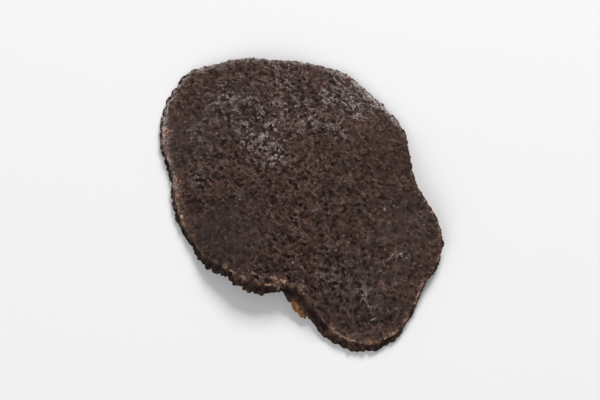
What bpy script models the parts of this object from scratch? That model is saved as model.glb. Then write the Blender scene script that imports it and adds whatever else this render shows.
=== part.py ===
"""One dried slice of a black truffle, as a single solid lying on a surface.

The slice was shaved right across the fungus, so its edge is the fungus's own outline: a broad
body with a drawn-out upper left corner, a lobe at the lower right, and a torn notch between
the body and the lobe. It dried domed. The rim waves, so it stands on three low stretches
of its edge, which are flat where they touch the surface.

Lengths in this file are millimetres, and the mesh is scaled to metres once at the end.
+X is to the right and +Y away, in the view that looks down on the domed side, and +Z is up.
"""

import math

import bmesh
import bpy
from mathutils import Vector, noise

NAME = "truffle_slice"
COLLECTION = "black truffle slice"
METRES_PER_MM = 0.001

# Outer edge seen from above: degrees from +X about the middle, and distance from it
OUTLINE = (
    (-166, 18.0), (-150, 17.4), (-142, 17.5), (-133, 16.8), (-121, 16.8), (-111, 16.6),
    (-105, 16.1), (-100, 15.6), (-94, 16.7), (-87, 18.7), (-82, 21.0), (-76, 23.5),
    (-68, 25.3), (-58, 25.5), (-48, 23.9), (-39, 22.5), (-28, 22.4), (-19, 21.6),
    (-9, 19.2), (0, 17.2), (9, 16.6), (22, 17.0), (34, 18.3), (50, 18.8), (61, 19.5),
    (71, 20.6), (90, 21.0), (102, 21.5), (112, 23.0), (122, 24.2), (131, 25.5), (139, 25.0),
    (148, 23.9), (158, 22.0), (170, 19.3), (180, 18.6),
)

# How far the cut face's border lies inside the outer edge, where the dark skin shows
SKIN_BEVEL = (
    (-170, 0.5), (-140, 0.9), (-108, 1.0), (-98, 0.8), (-88, 1.6), (-78, 1.5),
    (-66, 0.8), (-30, 0.7), (0, 0.5), (40, 0.4), (75, 0.3), (120, 0.3), (150, 0.5),
)
UNDER_BEVEL = 0.25

# How warty the skin is round the rim: roughest from the lower left corner to the lobe's tip
WARTINESS = (
    (-170, 0.7), (-140, 1.1), (-105, 1.1), (-90, 1.3), (-72, 1.3), (-50, 0.8), (0, 0.6),
    (50, 0.5), (95, 0.45), (130, 0.6), (165, 0.6),
)
WIDEST_LEVEL = -1 / 3

# Thickness of the slice, in the middle and at the rim
THICKNESS_MIDDLE = 1.35
THICKNESS_RIM = 1.05

# Dome: an oval cap, longest from the upper left corner to the tip of the lobe
DOME_HEIGHT = 4.6
DOME_TURN = math.radians(-55)
DOME_LONG = 25.5
DOME_SHORT = 18.0

# Three-fold wave of the rim: it is highest at the notch and at two more places
RIM_WAVE = 1.35
RIM_WAVE_TURN = math.radians(-122)

# A slight lean, which brings the three low stretches of the rim to one level
LEAN_X = 0.034
LEAN_Y = 0.004
SINK = 0.25

# How gently the slice bends to lie flat where it touches the surface
TOUCH_SOFTNESS = 0.45

# Slow undulation of the whole slice, read from one level of a noise field
SWELL_LENGTH = 11.0
SWELL_HEIGHT = 0.55
SWELL_LEVEL = 3.7

# The tear at the notch: a narrow crack, with the lobe's side of it set lower
TEAR_ANGLE = -100.0
TEAR_DEPTH = 0.8
TEAR_HALF_WIDTH = 0.45
TEAR_STEP = 0.45
TEAR_STEP_REACH = 4.5
TEAR_STEP_WIDTH = 0.9
TEAR_LEAN = math.radians(-72)
TEAR_CLOSENESS = 8

# Grain of the cut faces and warts of the skin, coarser here than on the real slice
GRAIN_SIZE = 1.4
GRAIN_HEIGHT = 0.24
GRAIN_LEVEL = 9.0
WART_SIZE = 1.15
WART_HEIGHT = 0.45
WART_FADE = 1.35

# Middle of the finished slice's box, which is put at X = Y = 0
MIDDLE_X = -0.044
MIDDLE_Y = -1.132

# Mesh: cells along each side of the square that becomes the slice, and up its rim
FACE_CELLS = 46
RIM_CELLS = 3

# Noise seldom passes 0.7, and is brought up to about 1
NOISE_GAIN = 1.4
SLOPE_STEP = 0.05
TINY = 1e-6


def smooth_step(value):
    """0 below 0, 1 above 1 and an S curve between."""
    value = min(max(value, 0.0), 1.0)
    return value * value * (3.0 - 2.0 * value)


def closed_curve(points, angle):
    """A smooth closed curve through (degrees, value) points, read at an angle in degrees."""
    count = len(points)
    angle = (angle - points[0][0]) % 360.0 + points[0][0]
    index = max(i for i in range(count) if points[i][0] <= angle)

    def knot(i):
        turn, place = divmod(i, count)
        return points[place][0] + 360.0 * turn, points[place][1]

    (a0, v0), (a1, v1), (a2, v2), (a3, v3) = (knot(index + i) for i in (-1, 0, 1, 2))
    part = (angle - a1) / (a2 - a1)
    slope_1 = (v2 - v0) / (a2 - a0) * (a2 - a1)
    slope_2 = (v3 - v1) / (a3 - a1) * (a2 - a1)
    return (
        v1 * (1 + 2 * part) * (1 - part) ** 2
        + slope_1 * part * (1 - part) ** 2
        + v2 * part * part * (3 - 2 * part)
        + slope_2 * part * part * (part - 1)
    )


def lumps(x, y, z, size):
    """Smooth noise between about -1 and 1, with lumps of the given size."""
    return noise.noise(Vector((x, y, z)) / size) * NOISE_GAIN


def tear_gap(degrees):
    """How far the crack at the notch cuts back the edge at an angle."""
    off = abs((degrees - TEAR_ANGLE + 180.0) % 360.0 - 180.0)
    half = math.degrees(TEAR_HALF_WIDTH / closed_curve(OUTLINE, TEAR_ANGLE))
    return TEAR_DEPTH * max(0.0, 1.0 - off / half)


def thickness(x, y):
    """The slice thins a little towards its rim."""
    reach = min(math.hypot(x, y) / DOME_LONG, 1.0)
    return THICKNESS_MIDDLE + (THICKNESS_RIM - THICKNESS_MIDDLE) * reach**2


def tear_step(x, y):
    """The lobe's side of the tear lies lower, which fades out away from the notch."""
    reach = closed_curve(OUTLINE, TEAR_ANGLE) - TEAR_DEPTH
    tip_x = reach * math.cos(math.radians(TEAR_ANGLE))
    tip_y = reach * math.sin(math.radians(TEAR_ANGLE))
    across = -(x - tip_x) * math.sin(TEAR_LEAN) + (y - tip_y) * math.cos(TEAR_LEAN)
    away = math.hypot(x - tip_x, y - tip_y) / TEAR_STEP_REACH
    return -TEAR_STEP * smooth_step(across / TEAR_STEP_WIDTH) * math.exp(-away * away)


def free_height(x, y):
    """Height of the slice's lower side before it is laid on the surface."""
    along = x * math.cos(DOME_TURN) + y * math.sin(DOME_TURN)
    across = y * math.cos(DOME_TURN) - x * math.sin(DOME_TURN)
    reach = (along / DOME_LONG) ** 2 + (across / DOME_SHORT) ** 2
    wave = math.cos(3.0 * (math.atan2(y, x) - RIM_WAVE_TURN))
    height = DOME_HEIGHT * (1.0 - reach) + RIM_WAVE * reach**1.5 * wave
    height += LEAN_X * x + LEAN_Y * y - SINK
    height += SWELL_HEIGHT * lumps(x, y, SWELL_LEVEL, SWELL_LENGTH)
    return height + tear_step(x, y)


def laid_height(x, y):
    """Height of the lower side: free where it is high, flat at 0 where it touches down."""
    height = free_height(x, y)
    if height <= -TOUCH_SOFTNESS:
        return 0.0
    if height >= TOUCH_SOFTNESS:
        return height
    return (height + TOUCH_SOFTNESS) ** 2 / (4.0 * TOUCH_SOFTNESS)


def laid_normal(x, y):
    """Direction straight out of the domed side."""
    rise_x = laid_height(x + SLOPE_STEP, y) - laid_height(x - SLOPE_STEP, y)
    rise_y = laid_height(x, y + SLOPE_STEP) - laid_height(x, y - SLOPE_STEP)
    return Vector((-rise_x, -rise_y, 2 * SLOPE_STEP)).normalized()


def rim_inset(level, degrees):
    """How far the rim lies inside the outer edge at a level from -1, below, to 1, above."""
    if level >= WIDEST_LEVEL:
        up = (level - WIDEST_LEVEL) / (1 - WIDEST_LEVEL)
        return closed_curve(SKIN_BEVEL, degrees) * up**1.5
    down = (WIDEST_LEVEL - level) / (WIDEST_LEVEL + 1)
    return UNDER_BEVEL * down**2


def square_to_disc(u, v):
    """The angle and the reach, 0 to 1, that a point of the square -1 to 1 takes on the disc."""
    if abs(u) < TINY and abs(v) < TINY:
        return 0.0, 0.0
    if abs(u) >= abs(v):
        angle = math.pi / 4 * v / u
        return angle + (math.pi if u < 0 else 0.0), abs(u)
    angle = math.pi / 2 - math.pi / 4 * u / v
    return angle + (math.pi if v < 0 else 0.0), abs(v)


def place_point(u, v, level):
    """The point of the slice for a point of the square slab."""
    angle, reach = square_to_disc(u, v)
    angle += math.radians(TEAR_ANGLE)
    degrees = math.degrees(angle)
    edge = closed_curve(OUTLINE, degrees) - tear_gap(degrees) * reach**TEAR_CLOSENESS
    edge -= rim_inset(level, degrees)
    out_x = math.cos(angle)
    out_y = math.sin(angle)
    if reach > 1 - TINY:
        growth = closed_curve(WARTINESS, degrees) * (WART_FADE - abs(level))
        edge += WART_HEIGHT * growth * lumps(edge * out_x, edge * out_y, level, WART_SIZE)
    x = reach * edge * out_x
    y = reach * edge * out_y
    half = thickness(x, y) / 2
    height = laid_height(x, y)
    point = Vector((x, y, height + half)) + laid_normal(x, y) * half * level
    if abs(level) > 1 - TINY:
        grain = GRAIN_HEIGHT * lumps(x, y, GRAIN_LEVEL * level, GRAIN_SIZE)
        point.z += grain * min(1.0, height)
    return point


def make_slice():
    """A slab of even cells, bent and trimmed to the slice, as one closed mesh."""
    slab = bmesh.new()
    bmesh.ops.create_cube(slab, size=2.0)
    upright = [e for e in slab.edges if abs(e.verts[0].co.z - e.verts[1].co.z) > 1.0]
    bmesh.ops.subdivide_edges(slab, edges=upright, cuts=RIM_CELLS - 1, use_grid_fill=True)
    level = [e for e in slab.edges if abs(e.verts[0].co.z - e.verts[1].co.z) < TINY]
    bmesh.ops.subdivide_edges(slab, edges=level, cuts=FACE_CELLS - 1, use_grid_fill=True)
    middle = Vector((MIDDLE_X, MIDDLE_Y, 0.0))
    for vert in slab.verts:
        vert.co = (place_point(*vert.co) - middle) * METRES_PER_MM
    bmesh.ops.triangulate(slab, faces=slab.faces[:])
    bmesh.ops.recalc_face_normals(slab, faces=slab.faces[:])
    mesh = bpy.data.meshes.new(NAME)
    slab.to_mesh(mesh)
    slab.free()
    mesh.shade_smooth()
    return bpy.data.objects.new(NAME, mesh)


def truffle_material():
    """Dry dark brown flesh under a thin grey frost."""
    material = bpy.data.materials.new("dried_truffle")
    material.use_nodes = True
    shader = material.node_tree.nodes["Principled BSDF"]
    shader.inputs["Base Color"].default_value = (0.052, 0.034, 0.028, 1.0)
    shader.inputs["Roughness"].default_value = 0.82
    shader.inputs["Metallic"].default_value = 0.0
    return material


for old in list(bpy.data.objects):
    bpy.data.objects.remove(old)

collection = bpy.data.collections.new(COLLECTION)
bpy.context.scene.collection.children.link(collection)
truffle_slice = make_slice()
truffle_slice.data.materials.append(truffle_material())
collection.objects.link(truffle_slice)
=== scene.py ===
"""A dried slice of black truffle, domed and frosted, lying on a pale floor in soft light."""

import math

import bmesh
import bpy
import numpy as np
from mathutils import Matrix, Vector, noise


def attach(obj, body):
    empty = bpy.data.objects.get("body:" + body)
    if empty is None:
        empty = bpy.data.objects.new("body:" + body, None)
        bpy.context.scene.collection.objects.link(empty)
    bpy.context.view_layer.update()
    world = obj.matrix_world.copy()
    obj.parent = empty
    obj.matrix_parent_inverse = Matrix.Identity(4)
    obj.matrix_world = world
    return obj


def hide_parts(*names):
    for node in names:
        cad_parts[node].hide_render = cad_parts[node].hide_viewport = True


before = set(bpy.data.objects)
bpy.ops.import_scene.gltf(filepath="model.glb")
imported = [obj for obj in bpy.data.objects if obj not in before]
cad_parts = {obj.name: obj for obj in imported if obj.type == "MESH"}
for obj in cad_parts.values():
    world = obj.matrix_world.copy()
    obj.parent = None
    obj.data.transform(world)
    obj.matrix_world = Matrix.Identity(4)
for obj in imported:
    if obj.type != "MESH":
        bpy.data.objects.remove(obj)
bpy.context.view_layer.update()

# The slice's form
# A truffle is one dense body of flesh in a thin warty skin. This slice was shaved right across
# it, a good millimetre thick, and dried into a low dome that stands on three parts of its rim.
# Lengths are millimetres, and the finished mesh is scaled to metres.

METRES_PER_MM = 0.001
TINY = 1e-6

# Brings the smooth noise up to about -1 to 1
NOISE_GAIN = 1.4

# Outer edge seen from above: degrees from +X about the middle, and distance from it
OUTLINE = (
    (-166, 18.0), (-150, 17.4), (-142, 17.5), (-133, 16.8), (-121, 16.8), (-111, 16.6),
    (-105, 16.1), (-100, 15.6), (-94, 16.7), (-87, 18.7), (-82, 21.0), (-76, 23.5),
    (-68, 25.3), (-58, 25.5), (-48, 23.9), (-39, 22.5), (-28, 22.4), (-19, 21.6),
    (-9, 19.2), (0, 17.2), (9, 16.6), (22, 17.0), (34, 18.3), (50, 18.8), (61, 19.5),
    (71, 20.6), (90, 21.0), (102, 21.5), (112, 23.0), (122, 24.2), (131, 25.5), (139, 25.0),
    (148, 23.9), (158, 22.0), (170, 19.3), (180, 18.6),
)

# Middle of the slice's box, which is moved to the origin
MIDDLE = np.array((-0.044, -1.132, 0.0))

# The dome's height, the way its long side points, and its reach along and across that way
DOME_HEIGHT = 4.6
DOME_TURN = math.radians(-55)
DOME_LONG = 25.5
DOME_SHORT = 18.0

# The rim waves up and down three times round, more and more towards its edge
RIM_WAVE = 1.35
RIM_WAVE_COUNT = 3
RIM_WAVE_TURN = math.radians(-122)
RIM_WAVE_GROWTH = 1.5

# How the slice leans and sinks until it touches down, and how softly it does
LEAN_X = 0.034
LEAN_Y = 0.004
SINK = 0.25
TOUCH_SOFTNESS = 0.45

# Slow swells of the drying flesh
SWELL_LENGTH = 11.0
SWELL_HEIGHT = 0.55
SWELL_LAYER = 3.7

# The notch: a crack that runs in from the edge, with the flesh on its right a step lower
TEAR_ANGLE = -100.0
TEAR_DEPTH = 0.8
TEAR_OPENING = 0.4
TEAR_HALF_WIDTH = 0.45
TEAR_STEP = 0.45
TEAR_STEP_REACH = 4.5
TEAR_STEP_WIDTH = 0.9
TEAR_LEAN = math.radians(-72)
TEAR_CLOSENESS = 8

# How far the cut face's border lies inside the outer edge, by degrees
SKIN_BEVEL = (
    (-170, 0.5), (-140, 0.9), (-108, 1.1), (-99, 1.1), (-92, 2.7), (-86, 2.9), (-81, 2.4),
    (-76, 1.6), (-69, 1.0), (-62, 0.6), (-50, 0.35), (-30, 0.3), (0, 0.3), (40, 0.35),
    (75, 0.3), (120, 0.3), (150, 0.5),
)

# How round that bevel is, the underside's own bevel, and the level at which the rim is widest,
# where -1 is the underside and 1 the upper face
BEVEL_ROUNDNESS = 1.5
UNDER_BEVEL = 0.25
WIDEST_LEVEL = -1 / 3

# How warty the skin is, by degrees
WARTINESS = (
    (-170, 0.7), (-140, 1.1), (-105, 1.1), (-90, 1.3), (-74, 1.1), (-62, 0.7), (-40, 0.5),
    (0, 0.5), (50, 0.5), (95, 0.45), (130, 0.6), (165, 0.6),
)

# The skin's warts: shares of smooth lumps, large warts and small ones, and how they stand out
WART_SIZE = 1.15
SMALL_WART_SIZE = 0.55
WART_SHARES = (0.5, 0.6, 0.45)
WART_HEIGHT = 0.50
WART_FADE = 1.35
WART_ROUNDNESS = 1.7
WART_CURVE = 3.2
HALF_RIM = 0.55

# Warts and chip stand on the outermost edge alone
EDGE_CLOSENESS = 30

# A torn chip of orange skin beside the notch: steep on its left, drawn out to its right
CHIP_ANGLE = -92.6
CHIP_LEFT = 1.6
CHIP_RIGHT = 4.2
CHIP_RISE = 1.05
CHIP_LEVEL = -0.35
CHIP_HALF_HEIGHT = 0.36
CHIP_SMOOTHNESS = 0.6

# Thickness of the slice in its middle and at its rim
THICKNESS_MIDDLE = 1.35
THICKNESS_RIM = 1.05

# Cells of the mesh across a face and up the rim
FACE_CELLS = 132
RIM_CELLS = 8


def closed_curve(points, degrees):
    """A smooth closed curve through (degrees, value) points, read at many angles."""
    angles = np.array([angle for angle, value in points], float)
    values = np.array([value for angle, value in points], float)
    count = len(points)
    degrees = (degrees - angles[0]) % 360.0 + angles[0]
    index = np.searchsorted(angles, degrees, side="right") - 1

    def knot(i):
        return angles[i % count] + 360.0 * (i // count), values[i % count]

    (a0, v0), (a1, v1), (a2, v2), (a3, v3) = (knot(index + i) for i in (-1, 0, 1, 2))
    part = (degrees - a1) / (a2 - a1)
    slope_1 = (v2 - v0) / (a2 - a0) * (a2 - a1)
    slope_2 = (v3 - v1) / (a3 - a1) * (a2 - a1)
    return (
        v1 * (1 + 2 * part) * (1 - part) ** 2
        + slope_1 * part * (1 - part) ** 2
        + v2 * part * part * (3 - 2 * part)
        + slope_2 * part * part * (part - 1)
    )


def smooth_step(value, low=0.0, high=1.0):
    """0 below low, 1 above high and an S curve between."""
    value = np.clip((value - low) / (high - low), 0.0, 1.0)
    return value * value * (3.0 - 2.0 * value)


def noise_points(x, y, z, size):
    """The points of a noise field at which a place on the slice is read."""
    x, y, z = np.broadcast_arrays(x, y, z)
    return zip((x / size).tolist(), (y / size).tolist(), (z / size).tolist())


def lumps(x, y, z, size):
    """Smooth noise between about -1 and 1, with lumps of the given size."""
    return NOISE_GAIN * np.array([noise.noise(p) for p in noise_points(x, y, z, size)])


def scallops(x, y, z, size):
    """Rounded warts of the given size with sharp grooves between, from about -1 to 1."""
    near = np.array([noise.voronoi(p)[0][0] for p in noise_points(x, y, z, size)])
    return np.maximum(1.0 - WART_CURVE * near**2, -1.0)


def tear_gap(degrees):
    """How far the crack at the notch cuts back the edge at an angle."""
    off = np.abs((degrees - TEAR_ANGLE + 180.0) % 360.0 - 180.0)
    half = np.degrees(TEAR_HALF_WIDTH / closed_curve(OUTLINE, np.array([TEAR_ANGLE])))
    return TEAR_OPENING * np.maximum(0.0, 1.0 - off / half)


def tear_place(x, y, lean):
    """Distance along and across a line at the crack's inner end that leans by an angle."""
    reach = closed_curve(OUTLINE, np.array([TEAR_ANGLE]))[0] - TEAR_DEPTH
    side_x = x - reach * math.cos(math.radians(TEAR_ANGLE))
    side_y = y - reach * math.sin(math.radians(TEAR_ANGLE))
    along = side_x * math.cos(lean) + side_y * math.sin(lean)
    across = side_y * math.cos(lean) - side_x * math.sin(lean)
    return along, across


def laid_height(x, y):
    """Height of the lower side: free where it is high, flat at 0 where it touches down."""
    along = x * math.cos(DOME_TURN) + y * math.sin(DOME_TURN)
    across = y * math.cos(DOME_TURN) - x * math.sin(DOME_TURN)
    reach = (along / DOME_LONG) ** 2 + (across / DOME_SHORT) ** 2
    wave = np.cos(RIM_WAVE_COUNT * (np.arctan2(y, x) - RIM_WAVE_TURN))
    height = DOME_HEIGHT * (1.0 - reach) + RIM_WAVE * reach**RIM_WAVE_GROWTH * wave
    height += LEAN_X * x + LEAN_Y * y - SINK
    height += SWELL_HEIGHT * lumps(x, y, SWELL_LAYER, SWELL_LENGTH)
    along, across = tear_place(x, y, TEAR_LEAN)
    away = (along**2 + across**2) / TEAR_STEP_REACH**2
    height -= TEAR_STEP * smooth_step(across / TEAR_STEP_WIDTH) * np.exp(-away)
    soft = (height + TOUCH_SOFTNESS) ** 2 / (4.0 * TOUCH_SOFTNESS)
    return np.where(
        height <= -TOUCH_SOFTNESS, 0.0, np.where(height >= TOUCH_SOFTNESS, height, soft)
    )


def laid_normal(x, y, step=0.05):
    """Directions straight out of the domed side."""
    rise_x = laid_height(x + step, y) - laid_height(x - step, y)
    rise_y = laid_height(x, y + step) - laid_height(x, y - step)
    normal = np.stack((-rise_x, -rise_y, np.full_like(rise_x, 2 * step)), axis=1)
    return normal / np.linalg.norm(normal, axis=1)[:, None]


def square_to_disc(u, v):
    """The angle and the reach, 0 to 1, that points of the square -1 to 1 take on the disc."""
    wide = np.abs(u) >= np.abs(v)
    safe_u = np.where(np.abs(u) < TINY, 1.0, u)
    safe_v = np.where(np.abs(v) < TINY, 1.0, v)
    side_angle = math.pi / 4 * v / safe_u + np.where(u < 0, math.pi, 0.0)
    end_angle = math.pi / 2 - math.pi / 4 * u / safe_v + np.where(v < 0, math.pi, 0.0)
    return np.where(wide, side_angle, end_angle), np.maximum(np.abs(u), np.abs(v))


def rim_inset(level, degrees):
    """How far the rim lies inside the outer edge at a level from -1, below, to 1, above."""
    up = np.clip((level - WIDEST_LEVEL) / (1 - WIDEST_LEVEL), 0.0, 1.0)
    down = np.clip((WIDEST_LEVEL - level) / (WIDEST_LEVEL + 1), 0.0, 1.0)
    return closed_curve(SKIN_BEVEL, degrees) * up**BEVEL_ROUNDNESS + UNDER_BEVEL * down**2


# Relief of the two cut faces
# The flesh dries to a fine net of crumbs and ridges with dark pits between, about half a
# millimetre apart. It stands out most on the upper half, least at the left and on the lobe.

# Pits, and the wider drift that gathers them
PIT_SIZE = 0.50
PIT_DEPTH = 0.16
PIT_EDGE = (0.05, 0.75)
PIT_DRIFT = 0.35
PIT_DRIFT_SIZE = 1.1

# The net of ridges runs in two ways, patch by patch, and is drawn out, bent and broken
STROKE_SIZE = 0.72
STROKE_EDGE = (0.03, 0.37)
STROKE_TURNS = (math.radians(-38), math.radians(62))
STROKE_PATCH = 6.0
STROKE_PATCH_EDGE = (-0.35, 0.15)
STROKE_STRETCH = 1.7
STROKE_WARP = 0.30
STROKE_WARP_SIZE = 1.0
STROKE_BREAK_SIZE = 0.9
STROKE_BREAK_EDGE = (-0.4, 0.3)
STROKE_FAINTEST = 0.25
STROKE_HEIGHT = 0.11

# Crumbs of the flesh, alone and in clusters
CRUMB_SIZE = 0.34
CRUMB_HEIGHT = 0.08
CLUSTER_SIZE = 1.4
CLUSTER_HEIGHT = 0.16

# The underside's grain is coarser, and stands out a little less
UNDER_COARSENESS = 1.7
UNDER_ROUGHNESS = 0.8

# Each pattern reads a layer of the noise for itself, so that no two of them line up
UPPER_LAYER = 0.37
UNDER_LAYER = -8.83
PIT_DRIFT_LAYER = 4.0
CRUMB_LAYER = 7.0
STROKE_WARP_LAYERS = (13.0, 15.0)
STROKE_BREAK_LAYER = 17.0
STROKE_LAYER = 19.0
STROKE_PATCH_LAYER = 41.0
CLUSTER_LAYER = 9.0
BEAD_LAYER = 3.0
BEVEL_WART_LAYER = 5.0

# The relief dies out over the last millimetre above the floor
LOW_FADE = 1.0

# Finer warts on the slope between the cut face and the skin: large, small and crumbs
BEVEL_WART_SIZE = 0.8
BEVEL_WART_SHARES = (0.7, 0.5, 0.4)
BEVEL_WART_EDGE = (-0.6, 0.2)
BEVEL_WART_HEIGHT = 0.24

# The tear runs on into the face as a furrow, with a raised tan lip along its left side
FURROW_LEAN = math.radians(-57)
FURROW_LENGTH = 2.6
FURROW_HALF_WIDTH = 0.20
FURROW_DEPTH = 0.34
LIP_LENGTH = 2.2
LIP_PLACE = 0.42
LIP_HALF_WIDTH = 0.32
LIP_HEIGHT = 0.24
LIP_RISE = 0.7
LIP_FALL = 0.4

# A curved crease across the lobe, an arc about its middle between two angles in degrees
CREASE_MIDDLE = (13.2, -15.5)
CREASE_RADIUS = 5.4
CREASE_HALF_WIDTH = 0.28
CREASE_DEPTH = 0.16
CREASE_START = 8.0
CREASE_END = 100.0
CREASE_FADE = 15.0

# How bright the grain is: everywhere, on its crumbs and on its ridges. Its pits take painted
# shade. Smooth patches are calmer: they lose up to half of what parts them from the middle.
CREST_SHARES = (0.38, 0.22, 0.60)
CREST_MIDDLE = 0.40
CREST_CALM = 0.5

# How bright the skin is: everywhere, on the slope's warts and on the skin's own; the extra
# brightness on the warts is partly painted highlight
WALL_SHARES = (0.34, 0.30, 0.30)
WALL_TAN = 0.12

# How tan the border of the upper face and the skin below it are, by degrees
TAN_GROWTH = (
    (-170, 1.3), (-150, 0.5), (-130, 1.0), (-108, 1.3), (-95, 1.0), (-80, 1.8), (-62, 1.8),
    (-45, 1.3), (-20, 1.2), (0, 0.3), (30, 0.15), (60, 0.3), (90, 0.4), (125, 0.35),
    (150, 0.9), (172, 1.4),
)

# The border of the upper face dries to a row of small beads
BEAD_SIZE = 0.7
BEAD_HEIGHT = 0.13
BEAD_HALF_WIDTH = 0.35

# Darker patches of the upper face, the flesh's own tone and in part painted shade: middle,
# radius and strength
DARK_PATCHES = (
    (-10.5, -7.5, 6.5, 0.42),
    (12.5, 2.5, 5.5, 0.30),
    (-19.0, 14.5, 4.0, 0.12),
    (7.5, -18.0, 3.0, 0.10),
    (-1.0, 15.0, 7.5, 0.19),
)

# Smoother patches of the upper face: middle, radius and how much of the grain they lose
SMOOTH_PATCHES = (
    (-16.0, 9.0, 5.5, 0.7),
    (-11.5, -7.5, 6.5, 0.75),
    (16.5, 2.5, 5.5, 0.6),
    (15.5, -8.0, 6.5, 0.65),
    (10.0, 8.5, 4.5, 0.45),
)


def net_ridges(x, y, z, size):
    """A net of ridges round pits of the given size: 0 in the pits and 1 along the ridges."""
    near = np.array([noise.voronoi(p)[0][:2] for p in noise_points(x, y, z, size)])
    return 1.0 - smooth_step(near[:, 1] - near[:, 0], *STROKE_EDGE)


def patch_cover(x, y, patches):
    """How strongly round patches, each (x, y, radius, strength), cover places on the slice."""
    bare = np.ones_like(x)
    for middle_x, middle_y, radius, strength in patches:
        away = ((x - middle_x) ** 2 + (y - middle_y) ** 2) / radius**2
        bare *= 1.0 - strength * np.exp(-away)
    return 1.0 - bare


# A cube of cells, coarser on its lower side, that is bent into the slice
slab = bmesh.new()
bmesh.ops.create_cube(slab, size=2.0)
upright = [e for e in slab.edges if abs(e.verts[0].co.z - e.verts[1].co.z) > 1.0]
bmesh.ops.subdivide_edges(slab, edges=upright, cuts=RIM_CELLS - 1, use_grid_fill=True)
flat = [e for e in slab.edges if abs(e.verts[0].co.z - e.verts[1].co.z) < TINY]
bmesh.ops.subdivide_edges(slab, edges=flat, cuts=FACE_CELLS - 1, use_grid_fill=True)
flat = [e for e in slab.edges if abs(e.verts[0].co.z - e.verts[1].co.z) < TINY]
fine = [e for e in flat if e.verts[0].co.z > TINY - 1.0]
bmesh.ops.subdivide_edges(slab, edges=fine, cuts=1, use_grid_fill=True)

# The outer edge with its warts and chip
u, v, level = np.array([vert.co for vert in slab.verts]).T.astype(float)
on_face = np.abs(level) > 1.0 - TINY
turn, reach = square_to_disc(u, v)
turn += math.radians(TEAR_ANGLE)
degrees = np.degrees(turn)
edge = closed_curve(OUTLINE, degrees) - tear_gap(degrees) * reach**TEAR_CLOSENESS
edge -= rim_inset(level, degrees)
wart_x = edge * np.cos(turn)
wart_y = edge * np.sin(turn)
wart_z = WART_ROUNDNESS * HALF_RIM * level
lump_share, large_share, small_share = WART_SHARES
wart = lump_share * lumps(wart_x, wart_y, wart_z, WART_SIZE)
wart += large_share * scallops(wart_x, wart_y, wart_z, WART_SIZE)
wart += small_share * scallops(wart_x, wart_y, wart_z, SMALL_WART_SIZE)
wart = np.tanh(wart)
growth = closed_curve(WARTINESS, degrees) * (WART_FADE - np.abs(level))
off_chip = (degrees - CHIP_ANGLE + 180.0) % 360.0 - 180.0
off_chip /= np.where(off_chip < 0.0, CHIP_LEFT, CHIP_RIGHT)
chip = np.exp(-(off_chip**2) - ((level - CHIP_LEVEL) / CHIP_HALF_HEIGHT) ** 2)
growth *= 1.0 - CHIP_SMOOTHNESS * chip
edge += (WART_HEIGHT * growth * wart + CHIP_RISE * chip) * reach**EDGE_CLOSENESS
x = reach * edge * np.cos(turn)
y = reach * edge * np.sin(turn)

# Half the thickness, and the bent sheet that it lies about
half = THICKNESS_MIDDLE + (THICKNESS_RIM - THICKNESS_MIDDLE) * (
    np.minimum(np.hypot(x, y) / DOME_LONG, 1.0) ** 2
)
half /= 2.0
height = laid_height(x, y)
normal = laid_normal(x, y)
upper = level > 0.0

# Pits, crumbs and ridges of the grain
rough = np.where(upper, 1.0 - patch_cover(x, y, SMOOTH_PATCHES), UNDER_ROUGHNESS)
grain_x = np.where(upper, x, x / UNDER_COARSENESS)
grain_y = np.where(upper, y, y / UNDER_COARSENESS)
grain_z = np.where(upper, UPPER_LAYER, UNDER_LAYER)
hollow = lumps(grain_x, grain_y, grain_z, PIT_SIZE)
hollow += PIT_DRIFT * lumps(grain_x, grain_y, grain_z + PIT_DRIFT_LAYER, PIT_DRIFT_SIZE)
pit = smooth_step(hollow, *PIT_EDGE)
crumb = lumps(grain_x, grain_y, grain_z + CRUMB_LAYER, CRUMB_SIZE)
stroke = np.zeros_like(x)
first_way = smooth_step(lumps(x, y, STROKE_PATCH_LAYER, STROKE_PATCH), *STROKE_PATCH_EDGE)
for stroke_turn, share in zip(STROKE_TURNS, (first_way, 1.0 - first_way)):
    stroke_x = grain_x * math.cos(stroke_turn) + grain_y * math.sin(stroke_turn)
    stroke_y = grain_y * math.cos(stroke_turn) - grain_x * math.sin(stroke_turn)
    stroke_x /= STROKE_STRETCH
    warp_x, warp_y = (grain_z + layer for layer in STROKE_WARP_LAYERS)
    stroke_x += STROKE_WARP * lumps(stroke_x, stroke_y, warp_x, STROKE_WARP_SIZE)
    stroke_y += STROKE_WARP * lumps(stroke_x, stroke_y, warp_y, STROKE_WARP_SIZE)
    unbroken = lumps(stroke_x, stroke_y, grain_z + STROKE_BREAK_LAYER, STROKE_BREAK_SIZE)
    unbroken = smooth_step(unbroken, *STROKE_BREAK_EDGE)
    unbroken = STROKE_FAINTEST + (1.0 - STROKE_FAINTEST) * unbroken
    net = net_ridges(stroke_x, stroke_y, grain_z + STROKE_LAYER, STROKE_SIZE)
    stroke += share * unbroken * net
relief = rough * (CRUMB_HEIGHT * crumb + STROKE_HEIGHT * stroke - PIT_DEPTH * pit)
relief += CLUSTER_HEIGHT * lumps(x, y, CLUSTER_LAYER * np.sign(level), CLUSTER_SIZE)

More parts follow.
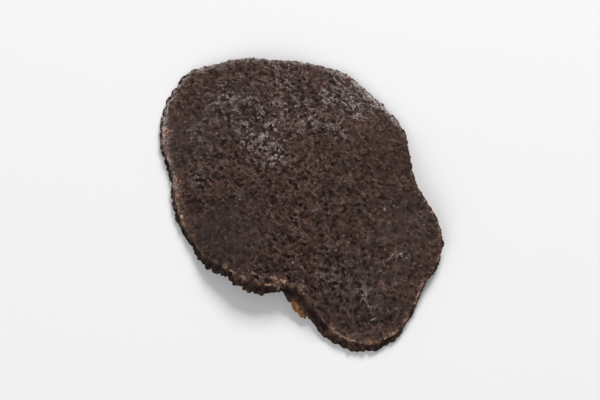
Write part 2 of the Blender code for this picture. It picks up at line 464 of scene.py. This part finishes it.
# Beads of the border, the torn furrow with its lip, and the lobe's crease
inner_edge = closed_curve(OUTLINE, degrees) - rim_inset(np.sign(level), degrees)
inner_edge -= tear_gap(degrees)
border = inner_edge - reach * edge
bead = scallops(x, y, BEAD_LAYER, BEAD_SIZE)
near_border = np.exp(-((border / BEAD_HALF_WIDTH) ** 2)) * upper
relief += BEAD_HEIGHT * bead * near_border
along, across = tear_place(x, y, FURROW_LEAN)
furrow = smooth_step(along, -FURROW_LENGTH, 0.0) * upper
relief -= FURROW_DEPTH * furrow * np.exp(-((across / FURROW_HALF_WIDTH) ** 2))
lip = smooth_step(along, -LIP_LENGTH, LIP_RISE - LIP_LENGTH)
lip *= 1.0 - smooth_step(along, 0.0, LIP_FALL)
lip *= np.exp(-(((across + LIP_PLACE) / LIP_HALF_WIDTH) ** 2)) * upper
relief += LIP_HEIGHT * lip
crease_x = x - CREASE_MIDDLE[0]
crease_y = y - CREASE_MIDDLE[1]
crease_turn = np.degrees(np.arctan2(crease_y, crease_x))
crease = smooth_step(crease_turn, CREASE_START, CREASE_START + CREASE_FADE)
crease *= 1.0 - smooth_step(crease_turn, CREASE_END - CREASE_FADE, CREASE_END)
off_crease = (np.hypot(crease_x, crease_y) - CREASE_RADIUS) / CREASE_HALF_WIDTH
relief -= CREASE_DEPTH * crease * upper * np.exp(-(off_crease**2))
relief *= np.minimum(1.0, height / LOW_FADE) * on_face * np.sign(level)

# Warts of the slope below the border
large_share, small_share, crumb_share = BEVEL_WART_SHARES
bevel_z = wart_z + BEVEL_WART_LAYER
bevel_wart = large_share * scallops(x, y, bevel_z, BEVEL_WART_SIZE)
bevel_wart += small_share * scallops(x, y, bevel_z, SMALL_WART_SIZE) + crumb_share * crumb
slope = smooth_step(level, *BEVEL_WART_EDGE) * ~on_face
relief += BEVEL_WART_HEIGHT * bevel_wart * slope

# How bright each point of the grain and of the skin is, with painted shade in the pits and,
# on the skin's warts, a brightness that is partly painted highlight
flat_share, crumb_share, stroke_share = CREST_SHARES
crest = (1.0 - pit) * (flat_share + crumb_share * crumb + stroke_share * stroke)
crest = CREST_MIDDLE + (crest - CREST_MIDDLE) * (1.0 - CREST_CALM * (1.0 - rough))
# Darker patches, in part painted shade
crest *= 1.0 - patch_cover(x, y, DARK_PATCHES)
tan_growth = closed_curve(TAN_GROWTH, degrees)
flat_share, bevel_share, wart_share = WALL_SHARES
wall_crest = flat_share + WALL_TAN * tan_growth + bevel_share * bevel_wart + wart_share * wart
crest = np.where(on_face, crest, wall_crest)

# The cells take their places on the slice
points = np.stack((x, y, height + half), axis=1) + normal * (half * level + relief)[:, None]
points[:, 2] = np.maximum(points[:, 2], 0.0)
points = (points - MIDDLE) * METRES_PER_MM
for vert, point in zip(slab.verts, points):
    vert.co = point
slice_mesh = bpy.data.meshes.new("truffle_slice_skin")
slab.to_mesh(slice_mesh)
slab.free()
slice_mesh.shade_smooth()

# Frost and skin of the slice
# Dry pale dust clings to the tops of the grains, thickest over the upper half and along the
# upper right rim. The rim itself is the truffle's dark skin, with a thin tan line inside it.
# The pits carry painted shade, and painted highlight is mixed into the skin's brown warts and the
# pale line along the rim's upper edge.

# How frosty the rim is, and how much painted highlight lines its upper edge, by degrees
RIM_FROST_AND_HIGHLIGHT = (
    (-170, 0.10), (-150, 0.0), (-60, 0.0), (20, 0.0), (34, 0.2), (43, 0.8), (50, 1.0),
    (66, 1.0), (76, 0.6), (90, 0.5), (110, 0.5), (130, 0.5), (150, 0.5), (168, 0.35),
)

# Frost fades in from the rim, and beads of frost with painted highlight line the rim's upper edge
RIM_FROST_WIDTH = 1.2
RIM_FROST_STRENGTH = 0.6
RIM_LINE_WIDTH = 0.50
RIM_LINE_EDGE = (0.1, 0.9)

# Frost on the bare upper face, on the underside and along the crease's outer side
FROST_LEAST = 0.07
FROST_UNDER = 0.06
CREASE_FROST = 0.5
CREASE_FROST_PLACE = 1.2

# How unevenly the frost lies: an even part, and drifts that are (share, layer, size) of noise
FROST_EVEN = 0.82
FROST_DRIFTS = ((0.40, 21.0, 2.6), (0.20, 25.0, 0.8))

# Patches of frost on the upper face: middle, radius and strength
FROST_PATCHES = (
    (-5.5, 8.3, 3.1, 0.78),
    (-3.7, 4.2, 1.8, 0.70),
    (-10.5, 12.9, 3.3, 0.46),
    (-3.2, 16.0, 4.5, 0.30),
    (0.5, 12.0, 4.5, 0.36),
    (1.3, 9.8, 1.6, 0.35),
    (6.1, 14.5, 3.0, 0.56),
    (8.6, 13.1, 2.0, 0.62),
    (5.9, 8.2, 1.5, 0.45),
    (7.0, 12.4, 1.6, 0.45),
    (5.3, 18.4, 1.2, 0.50),
    (-15.3, 8.6, 1.6, 0.38),
    (-13.8, 2.6, 1.8, 0.25),
    (-7.9, -13.0, 0.7, 0.9),
    (-6.5, -13.1, 0.7, 0.8),
    (4.5, -13.2, 1.5, 0.35),
    (8.9, -15.8, 0.9, 0.65),
    (9.7, -17.1, 0.7, 0.75),
    (9.9, -19.3, 0.6, 0.60),
    (13.8, -10.2, 0.8, 1.0),
)

# The tan line inside the rim: how far in it runs and sways, how its beads show, and how it
# comes and goes, within a range
TAN_LINE_PLACE = 0.10
TAN_LINE_SWAY = ((0.14, 31.0, 1.8),)
TAN_LINE_HALF_WIDTH = 0.24
TAN_LINE_BEADS = (0.8, 0.4)
TAN_LINE_EVEN = 0.75
TAN_LINE_GAPS = ((0.8, 35.0, 2.0),)
TAN_LINE_RANGE = (0.1, 1.2)

# How fully the lip is tan and the chip orange
LIP_TAN = 2.0
CHIP_COVER = 1.6

# Tan spots on the upper face: middle, radius and strength
TAN_SPOTS = (
    (11.9, -3.6, 0.40, 0.9),
    (13.4, -10.1, 0.45, 0.85),
    (8.2, 9.4, 0.35, 0.7),
    (-1.4, -8.9, 0.35, 0.9),
    (0.5, -8.0, 0.30, 0.8),
    (-10.6, -11.8, 0.45, 0.8),
    (-9.7, -12.8, 0.55, 1.0),
    (-8.0, -14.0, 0.40, 0.9),
    (-4.6, -14.3, 0.45, 0.6),
    (-2.7, -13.9, 0.45, 0.9),
    (-19.4, 9.9, 0.7, 1.0),
    (-17.8, 1.9, 0.9, 1.0),
    (-17.9, 0.0, 0.6, 0.9),
    (-18.0, -1.8, 0.6, 0.9),
    (0.3, -14.4, 0.5, 1.0),
    (4.2, -20.9, 0.9, 1.0),
    (9.7, -23.0, 0.8, 1.0),
    (13.4, -21.2, 0.6, 1.0),
    (15.0, -19.1, 0.6, 1.0),
    (16.9, -15.4, 0.6, 1.0),
)

# Ashy patches of the upper face, where the flesh is greyer: middle, radius and strength
ASH_PATCHES = (
    (-15.5, 8.0, 5.0, 0.5),
    (-11.0, -8.0, 6.0, 0.6),
    (9.5, -16.5, 5.0, 0.7),
    (15.5, -5.0, 5.0, 0.4),
    (-9.0, 13.0, 4.0, 0.4),
)
ASH_EVEN = 0.8
ASH_DRIFTS = ((0.5, 61.0, 1.6),)

# Colours of the flesh, the frost, the skin and the torn chip. The rim's grey and the skin's brown
# also stand in partly for painted highlight.
FLESH_DARK = (0.0230, 0.0125, 0.0100, 1.0)
FLESH_BROWN = (0.0540, 0.0285, 0.0220, 1.0)
FLESH_RUST = (0.0820, 0.0350, 0.0230, 1.0)
FLESH_ASH = (0.0470, 0.0350, 0.0320, 1.0)
FLECK_TAN = (0.1900, 0.1150, 0.0850, 1.0)
DUST_GREY = (0.1200, 0.0920, 0.0850, 1.0)
FROST_PALE = (0.5400, 0.4700, 0.4550, 1.0)
RIM_FROST_HIGHLIGHT_GREY = (0.6000, 0.5250, 0.5100, 1.0)
SKIN_BLACK = (0.0120, 0.0070, 0.0058, 1.0)
SKIN_BROWN_AND_HIGHLIGHT = (0.1300, 0.0680, 0.0460, 1.0)
TAN_DULL = (0.0900, 0.0450, 0.0300, 1.0)
TAN_PALE = (0.5600, 0.3700, 0.2700, 1.0)
TAN_AMBER = (0.5400, 0.2900, 0.1500, 1.0)
CHIP_ORANGE = (0.4600, 0.2150, 0.0900, 1.0)
FLESH_SHINE = 0.12

# Patterns of the flesh: size in millimetres, (place, brightness) stops, detail and roughness
MARBLING = (3.2, ((0.35, 0.0), (0.68, 1.0)))
RUST = (0.9, ((0.50, 0.0), (0.72, 0.8)), 4.0, 0.65)
FLECKS = (0.55, ((0.58, 0.0), (0.68, 0.8)), 2.0, 0.5)
FROST_GRAINS = (0.32, ((0.46, 0.0), (0.58, 1.0)), 4.0, 0.7)
RIND = (0.7, ((0.38, 0.2), (0.62, 1.0)), 4.0, 0.65)
TAN_BREAKS = (0.85, ((0.45, 0.0), (0.55, 1.0)), 5.0, 0.7)
TAN_GRAINS = (0.36, ((0.44, 0.0), (0.64, 1.0)), 4.0, 0.65)
AMBER = (1.7, ((0.50, 0.0), (0.60, 0.9)))
RIM_BEADS = (0.7, ((0.46, 0.0), (0.56, 0.9)), 4.0, 0.7)
TORN_FLESH = (0.6, ((0.40, 0.1), (0.56, 1.0)), 4.0, 0.7)
DRYNESS = (0.8, ((0.3, 0.68), (0.7, 0.95)))

# What the height of the grain turns into, as (place, brightness) stops: painted shade in the
# pits with lighter ridges, film of frost, bright frost, and brown wart tops that are partly
# painted highlight. The last stops say where the tan line is strong enough to be whole.
PIT_SHADE = ((0.0, 0.30), (0.35, 0.85), (0.8, 1.35))
FROST_FILM = ((0.15, 0.0), (0.60, 0.36))
FROST_RIDGES = ((0.48, 0.0), (0.85, 1.0))
WART_TOPS = ((0.35, 0.0), (0.75, 0.45), (1.0, 1.0))
TAN_WHOLE = ((0.80, 0.0), (1.0, 0.9))

# The finest grain of the surface: size in millimetres, detail and roughness
BUMP_GRAIN = (0.24, 4.0, 0.65)
BUMP_STRENGTH = 0.8
BUMP_DEPTH_MM = 0.14


def keep_values(mesh, name, values):
    """Stores one number for each point of a mesh, for its material to read."""
    stored = mesh.attributes.new(name, "FLOAT", "POINT")
    stored.data.foreach_set("value", np.clip(values, 0.0, 1.0).astype(np.float32))


def uneven(x, y, even, drifts):
    """An even share and noises, each (share, layer, size), at places on the slice."""
    return even + sum(share * lumps(x, y, layer, size) for share, layer, size in drifts)


# How thick the frost lies, and the rim's beads of frost and painted highlight
frost_cover = FROST_LEAST + patch_cover(x, y, FROST_PATCHES)
frost_cover += CREASE_FROST * crease * np.exp(-((off_crease - CREASE_FROST_PLACE) ** 2))
frost_cover *= uneven(x, y, FROST_EVEN, FROST_DRIFTS)
rim_gap = closed_curve(OUTLINE, degrees) * (1.0 - reach)
rim_frost_and_highlight = closed_curve(RIM_FROST_AND_HIGHLIGHT, degrees)
frost_edge = rim_frost_and_highlight * np.exp(-((rim_gap / RIM_FROST_WIDTH) ** 2))
frost_cover += RIM_FROST_STRENGTH * np.maximum(frost_edge, 0.0)
frost_cover = np.clip(np.where(upper, frost_cover, FROST_UNDER), 0.0, 1.0) * on_face
rim_frost_highlight_line = rim_frost_and_highlight * np.exp(-((rim_gap / RIM_LINE_WIDTH) ** 2))
rim_frost_highlight_line *= smooth_step(level, *RIM_LINE_EDGE)

# The tan line and spots
off_line = (border - uneven(x, y, TAN_LINE_PLACE, TAN_LINE_SWAY)) / TAN_LINE_HALF_WIDTH
tan_cover = np.exp(-(off_line**2)) * on_face * upper
flat_share, bead_share = TAN_LINE_BEADS
tan_cover *= tan_growth * (flat_share + bead_share * bead)
tan_cover *= np.clip(uneven(x, y, TAN_LINE_EVEN, TAN_LINE_GAPS), *TAN_LINE_RANGE)
tan_cover += patch_cover(x, y, TAN_SPOTS) * on_face * upper

# What the material reads at each point
ash = patch_cover(x, y, ASH_PATCHES) * uneven(x, y, ASH_EVEN, ASH_DRIFTS)
for name, values in (
    ("crest", crest),
    ("frost", frost_cover),
    ("skin", np.where(on_face, 0.0, 1.0)),
    ("rim_frost_highlight_line", rim_frost_highlight_line),
    ("tan", np.maximum(tan_cover, LIP_TAN * lip)),
    ("chip", CHIP_COVER * chip),
    ("ash", ash * on_face * upper),
):
    keep_values(slice_mesh, name, values)


def add_node(tree, kind, **values):
    """A shader node with its named properties and input sockets set."""
    node = tree.nodes.new(kind)
    for name, value in values.items():
        if hasattr(node, name):
            setattr(node, name, value)
        else:
            node.inputs[name.replace("_", " ")].default_value = value
    return node


def mix_colour(tree, share, first, second, blend="MIX"):
    """Mixes two colours by a share. Each may be a socket or a plain value."""
    node = add_node(tree, "ShaderNodeMix", data_type="RGBA", blend_type=blend)
    # For colours, this node's sockets are 0 for the share, 6 and 7, and its result is 2
    for index, value in ((0, share), (6, first), (7, second)):
        if isinstance(value, bpy.types.NodeSocket):
            tree.links.new(value, node.inputs[index])
        else:
            node.inputs[index].default_value = value
    return node.outputs[2]


def ramp(tree, value, stops):
    """A grey ramp: (place, brightness) stops read at a value."""
    node = tree.nodes.new("ShaderNodeValToRGB")
    elements = node.color_ramp.elements
    for element, (place, shade) in zip(elements, (stops[0], stops[-1])):
        element.position = place
        element.color = (shade, shade, shade, 1.0)
    for place, shade in stops[1:-1]:
        element = elements.new(place)
        element.color = (shade, shade, shade, 1.0)
    tree.links.new(value, node.inputs[0])
    return node.outputs[0]


def kept_value(tree, name):
    """The number that keep_values stored under a name."""
    return add_node(tree, "ShaderNodeAttribute", attribute_name=name).outputs["Fac"]


def noise_field(tree, size_mm, detail=3.0, roughness=0.6):
    """Noise on the piece's own coordinates, with features of the given size."""
    place = add_node(tree, "ShaderNodeTexCoord").outputs["Object"]
    node = add_node(tree, "ShaderNodeTexNoise", Detail=detail, Roughness=roughness)
    node.inputs["Scale"].default_value = 1.0 / (size_mm * METRES_PER_MM)
    tree.links.new(place, node.inputs["Vector"])
    return node.outputs["Fac"]


def spots(tree, size_mm, stops, detail=3.0, roughness=0.6):
    """Noise of the given size, turned by a ramp into spots."""
    return ramp(tree, noise_field(tree, size_mm, detail, roughness), stops)


def combine(tree, first, second, operation="MULTIPLY"):
    """The product of two numbers in a material, or what another operation gives."""
    node = add_node(tree, "ShaderNodeMath", operation=operation)
    tree.links.new(first, node.inputs[0])
    tree.links.new(second, node.inputs[1])
    return node.outputs[0]


flesh = bpy.data.materials.new("dried_truffle_flesh")
flesh.use_nodes = True
tree = flesh.node_tree
shader = tree.nodes["Principled BSDF"]

# Marbled flesh with rusty and ashy patches, darkened in its pits by painted shade and lighter on
# its ridges, with tan flecks on its grain
colour = mix_colour(tree, spots(tree, *MARBLING), FLESH_DARK, FLESH_BROWN)
colour = mix_colour(tree, spots(tree, *RUST), colour, FLESH_RUST)
colour = mix_colour(tree, kept_value(tree, "ash"), colour, FLESH_ASH)
crest_value = kept_value(tree, "crest")
pits = ramp(tree, crest_value, PIT_SHADE)
colour = mix_colour(tree, 1.0, colour, pits, "MULTIPLY")
flecks = combine(tree, spots(tree, *FLECKS), crest_value)
colour = mix_colour(tree, flecks, colour, FLECK_TAN)

# Frost: a thin grey film with bright grains on the ridges
frost_value = kept_value(tree, "frost")
film = combine(tree, frost_value, ramp(tree, crest_value, FROST_FILM))
colour = mix_colour(tree, film, colour, DUST_GREY)
ridges = combine(tree, frost_value, ramp(tree, crest_value, FROST_RIDGES))
grains = combine(tree, ridges, spots(tree, *FROST_GRAINS))
colour = mix_colour(tree, grains, colour, FROST_PALE)

# The dark skin of the rim, browner on its warts, partly the skin's own brown and partly painted
# highlight
rind_and_highlight = combine(tree, spots(tree, *RIND), ramp(tree, crest_value, WART_TOPS))
skin_colour = mix_colour(tree, rind_and_highlight, SKIN_BLACK, SKIN_BROWN_AND_HIGHLIGHT)
colour = mix_colour(tree, kept_value(tree, "skin"), colour, skin_colour)

# The tan line, broken where it is faint and whole where it is strong
tan_light = mix_colour(tree, spots(tree, *AMBER), TAN_PALE, TAN_AMBER)
tan_colour = mix_colour(tree, spots(tree, *TAN_GRAINS), TAN_DULL, tan_light)
tan_value = kept_value(tree, "tan")
whole = ramp(tree, tan_value, TAN_WHOLE)
unbroken = combine(tree, spots(tree, *TAN_BREAKS), whole, "MAXIMUM")
tan_share = combine(tree, tan_value, unbroken)
colour = mix_colour(tree, tan_share, colour, tan_colour)

# Beads of frost and painted highlight along the rim's upper edge, and the orange of the torn chip
beads = combine(tree, kept_value(tree, "rim_frost_highlight_line"), spots(tree, *RIM_BEADS))
colour = mix_colour(tree, beads, colour, RIM_FROST_HIGHLIGHT_GREY)
torn = combine(tree, kept_value(tree, "chip"), spots(tree, *TORN_FLESH))
colour = mix_colour(tree, torn, colour, CHIP_ORANGE)
tree.links.new(colour, shader.inputs["Base Color"])

# A dry, matt surface with a fine grain
tree.links.new(spots(tree, *DRYNESS), shader.inputs["Roughness"])
shader.inputs["Specular IOR Level"].default_value = FLESH_SHINE
bump_depth = BUMP_DEPTH_MM * METRES_PER_MM
bump = add_node(tree, "ShaderNodeBump", Strength=BUMP_STRENGTH, Distance=bump_depth)
tree.links.new(noise_field(tree, *BUMP_GRAIN), bump.inputs["Height"])
tree.links.new(bump.outputs[0], shader.inputs["Normal"])
slice_mesh.materials.append(flesh)

truffle = bpy.data.objects.new("truffle_slice_dressed", slice_mesh)
bpy.context.scene.collection.objects.link(truffle)
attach(truffle, "root")
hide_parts("truffle_slice")

# Frost crumbs
# The thickest of the pale dust stands on the ridges as separate crumbs, a tenth to a quarter
# of a millimetre across. They stick to the flesh, so they are part of the same slice.

CRUMB_COUNT = 8192
CRUMB_SEED = 11

# How likely a crumb is on bare flesh and on the underside, and how bright a grain it needs
CHANCE_BARE = 0.06
CHANCE_UNDER = 0.05
CHANCE_EDGE = (0.4, 0.85)

# Each crumb is flat, uneven and drawn out one way, with its foot sunk in the flesh
CRUMB_RADIUS = (0.045, 0.125)
CRUMB_RISE = 0.35
CRUMB_FLATNESS = 0.6
CRUMB_UNEVENNESS = 0.25
CRUMB_STRETCH = (0.8, 1.5)
CRUMB_SHIFT = 0.08

# Powers that make most crumbs small and dark, and a few pale ones stray over bare flesh
SMALLNESS = 2
DARKNESS = 1.5
STRAY_FROST = 0.35
STRAY_RARITY = 7

# From how thin to how thick a frost a crumb turns from brown to pale, and its surface
PALE_CRUMBS = ((0.15, 0.0), (0.8, 1.0))
CRUMB_ROUGHNESS = 0.7
CRUMB_SHINE = 0.2

# The points of the slice that the crumbs stand on
rng = np.random.default_rng(CRUMB_SEED)
chance = np.where(upper, CHANCE_BARE + frost_cover, CHANCE_UNDER)
chance *= smooth_step(crest, *CHANCE_EDGE) * on_face
anchors = rng.choice(len(chance), CRUMB_COUNT, replace=False, p=chance / chance.sum())

# One small ball for each of them, in its own size, turn and shape
crumbs = bmesh.new()
bmesh.ops.create_icosphere(crumbs, subdivisions=1, radius=1.0)
corner_count = len(crumbs.verts)
while len(crumbs.verts) < corner_count * CRUMB_COUNT:
    bmesh.ops.duplicate(crumbs, geom=crumbs.verts[:] + crumbs.edges[:] + crumbs.faces[:])
corners = np.array([vert.co for vert in crumbs.verts]).reshape(CRUMB_COUNT, corner_count, 3)
corners *= 1.0 + rng.uniform(-CRUMB_UNEVENNESS, CRUMB_UNEVENNESS, corners.shape)
low, high = CRUMB_RADIUS
radii = low + (high - low) * rng.random(CRUMB_COUNT) ** SMALLNESS
spin = rng.uniform(0.0, 2 * math.pi, CRUMB_COUNT)
stretch = rng.uniform(*CRUMB_STRETCH, CRUMB_COUNT)
side = np.stack((np.cos(spin), np.sin(spin), np.zeros(CRUMB_COUNT)), axis=1)
out = normal[anchors] * np.sign(level[anchors])[:, None]
side -= out * (side * out).sum(axis=1)[:, None]
side /= np.linalg.norm(side, axis=1)[:, None]
across_side = np.cross(out, side)
spread = (
    corners[:, :, 0:1] * (side * stretch[:, None])[:, None]
    + corners[:, :, 1:2] * across_side[:, None]
    + (corners[:, :, 2:3] * CRUMB_FLATNESS + CRUMB_RISE) * out[:, None]
)
spread *= radii[:, None, None] * METRES_PER_MM
shift = rng.uniform(-CRUMB_SHIFT, CRUMB_SHIFT, (CRUMB_COUNT, 1)) * METRES_PER_MM
spread += (points[anchors] + side * shift)[:, None]
spread[:, :, 2] = np.maximum(spread[:, :, 2], 0.0)
for vert, point in zip(crumbs.verts, spread.reshape(-1, 3)):
    vert.co = point
crumb_mesh = bpy.data.meshes.new("frost_crumbs")
crumbs.to_mesh(crumb_mesh)
crumbs.free()
crumb_mesh.shade_smooth()
crumb_shade = rng.random(CRUMB_COUNT) ** DARKNESS
keep_values(crumb_mesh, "shade", np.repeat(crumb_shade, corner_count))
stray = STRAY_FROST * rng.random(CRUMB_COUNT) ** STRAY_RARITY
keep_values(crumb_mesh, "frost", np.repeat(frost_cover[anchors] + stray, corner_count))

# Brown crumbs of flesh, and pale ones where the frost is thick
frosting = bpy.data.materials.new("frost_crumbs")
frosting.use_nodes = True
tree = frosting.node_tree
shader = tree.nodes["Principled BSDF"]
shade = kept_value(tree, "shade")
brown_crumb = mix_colour(tree, shade, FLESH_BROWN, FLECK_TAN)
pale_crumb = mix_colour(tree, shade, DUST_GREY, FROST_PALE)
paleness = ramp(tree, kept_value(tree, "frost"), PALE_CRUMBS)
colour = mix_colour(tree, paleness, brown_crumb, pale_crumb)
tree.links.new(colour, shader.inputs["Base Color"])
shader.inputs["Roughness"].default_value = CRUMB_ROUGHNESS
shader.inputs["Specular IOR Level"].default_value = CRUMB_SHINE
crumb_mesh.materials.append(frosting)
frost_crumbs = bpy.data.objects.new("frost_crumbs", crumb_mesh)
bpy.context.scene.collection.objects.link(frost_crumbs)
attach(frost_crumbs, "root")

# Floor, light and camera
# A pale sweep under one big soft light behind and to the right, as in a light tent, and a
# camera that looks down on the slice.

FLOOR_SIZE = 3.0
FLOOR_COLOUR = (0.74, 0.74, 0.745, 1.0)
FLOOR_ROUGHNESS = 0.9
WORLD_COLOUR = (0.98, 0.985, 1.0, 1.0)
WORLD_STRENGTH = 0.30

floor_mesh = bpy.data.meshes.new("floor")
floor_form = bmesh.new()
bmesh.ops.create_grid(floor_form, x_segments=1, y_segments=1, size=FLOOR_SIZE / 2)
floor_form.to_mesh(floor_mesh)
floor_form.free()
paper = bpy.data.materials.new("white_sweep")
paper.use_nodes = True
shader = paper.node_tree.nodes["Principled BSDF"]
shader.inputs["Base Color"].default_value = FLOOR_COLOUR
shader.inputs["Roughness"].default_value = FLOOR_ROUGHNESS
floor_mesh.materials.append(paper)
floor = bpy.data.objects.new("floor", floor_mesh)
bpy.context.scene.collection.objects.link(floor)


def soft_light(name, place, size, power, colour):
    """A square area light that faces the slice."""
    light = bpy.data.lights.new(name, "AREA")
    light.size = size
    light.energy = power
    light.color = colour
    lamp = bpy.data.objects.new(name, light)
    lamp.location = place
    lamp.rotation_euler = (-Vector(place)).to_track_quat("-Z", "Y").to_euler()
    bpy.context.scene.collection.objects.link(lamp)


soft_light(
    "key_light", place=(0.16, 0.58, 0.46), size=0.30, power=6.2, colour=(1.0, 0.985, 0.965)
)
soft_light(
    "fill_light", place=(-0.25, -0.50, 0.50), size=0.6, power=3.0, colour=(0.98, 0.985, 1.0)
)

world = bpy.data.worlds.new("light_tent")
world.use_nodes = True
backdrop = world.node_tree.nodes["Background"]
backdrop.inputs["Color"].default_value = WORLD_COLOUR
backdrop.inputs["Strength"].default_value = WORLD_STRENGTH
bpy.context.scene.world = world
bpy.context.scene.view_settings.view_transform = "Standard"

CAMERA_LENS = 150.0
CAMERA_DISTANCE = 0.36
CAMERA_ELEVATION = math.radians(68)
AIM = Vector((0.0, 0.0, 0.002))
camera_data = bpy.data.cameras.new("camera")
camera_data.lens = CAMERA_LENS
camera = bpy.data.objects.new("camera", camera_data)
sight = Vector((0.0, -math.cos(CAMERA_ELEVATION), math.sin(CAMERA_ELEVATION)))
camera.location = AIM + sight * CAMERA_DISTANCE
camera.rotation_euler = (-sight).to_track_quat("-Z", "Y").to_euler()
bpy.context.scene.collection.objects.link(camera)
bpy.context.scene.camera = camera
